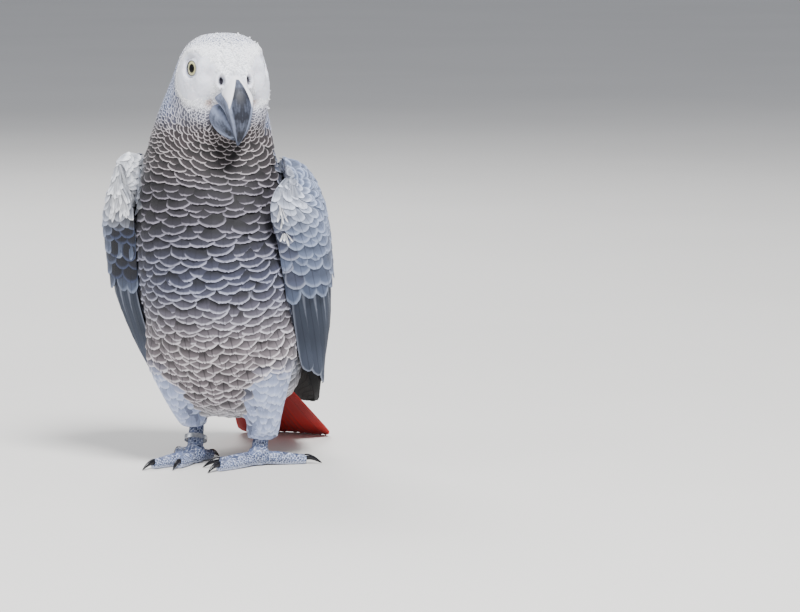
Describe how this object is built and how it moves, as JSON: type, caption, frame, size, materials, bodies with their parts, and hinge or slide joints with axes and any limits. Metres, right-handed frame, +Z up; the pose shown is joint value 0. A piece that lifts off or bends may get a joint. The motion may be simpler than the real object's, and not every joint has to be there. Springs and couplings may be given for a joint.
{
  "type": "grey parrot",
  "caption": "Life-size still model of a grey parrot with a red tail, standing upright on both feet and looking round to its left, with a plain ring on one leg, for a museum display.",
  "frame": {"origin": "Middle of the part's box in X and Y, on the floor that the feet and tail tip rest on, Z = 0.", "axes": "+Z up, the bird's breast and toes face -Y, its left side is +X."},
  "size_m": [0.1306, 0.192, 0.2453],
  "materials": {
    "face": "bare whitish facial skin and small white feathers",
    "plumage": "soft grey feathers with pale edges",
    "flight": "firm dark grey flight feathers with a slight sheen",
    "tail": "bright scarlet tail feathers with a slight sheen",
    "foot": "grey scaly skin, granular, dull",
    "claw": "black horn, glossy",
    "bill": "dark slate horn, satin, faintly ridged",
    "eye": "wet glossy eye with a pale straw iris and a black pupil",
    "ring": "plain satin aluminium leg ring"
  },
  "bodies": {
    "root": {"head": "face", "neck": "plumage", "trunk": "plumage", "rump": "plumage", "eye_right": "eye", "eye_left": "eye", "upper_bill": "bill", "lower_bill": "bill", "tail": "tail", "leg_ring": "ring", "wing_right": "plumage", "secondaries_right": "flight", "primaries_right": "flight", "thigh_right": "plumage", "foot_right": "foot", "toe_outer_front_right": "foot", "claw_outer_front_right": "claw", "toe_inner_front_right": "foot", "claw_inner_front_right": "claw", "toe_inner_back_right": "foot", "claw_inner_back_right": "claw", "toe_outer_back_right": "foot", "claw_outer_back_right": "claw", "wing_left": "plumage", "secondaries_left": "flight", "primaries_left": "flight", "thigh_left": "plumage", "foot_left": "foot", "toe_outer_front_left": "foot", "claw_outer_front_left": "claw", "toe_inner_front_left": "foot", "claw_inner_front_left": "claw", "toe_inner_back_left": "foot", "claw_inner_back_left": "claw", "toe_outer_back_left": "foot", "claw_outer_back_left": "claw"}
  },
  "joints": []
}
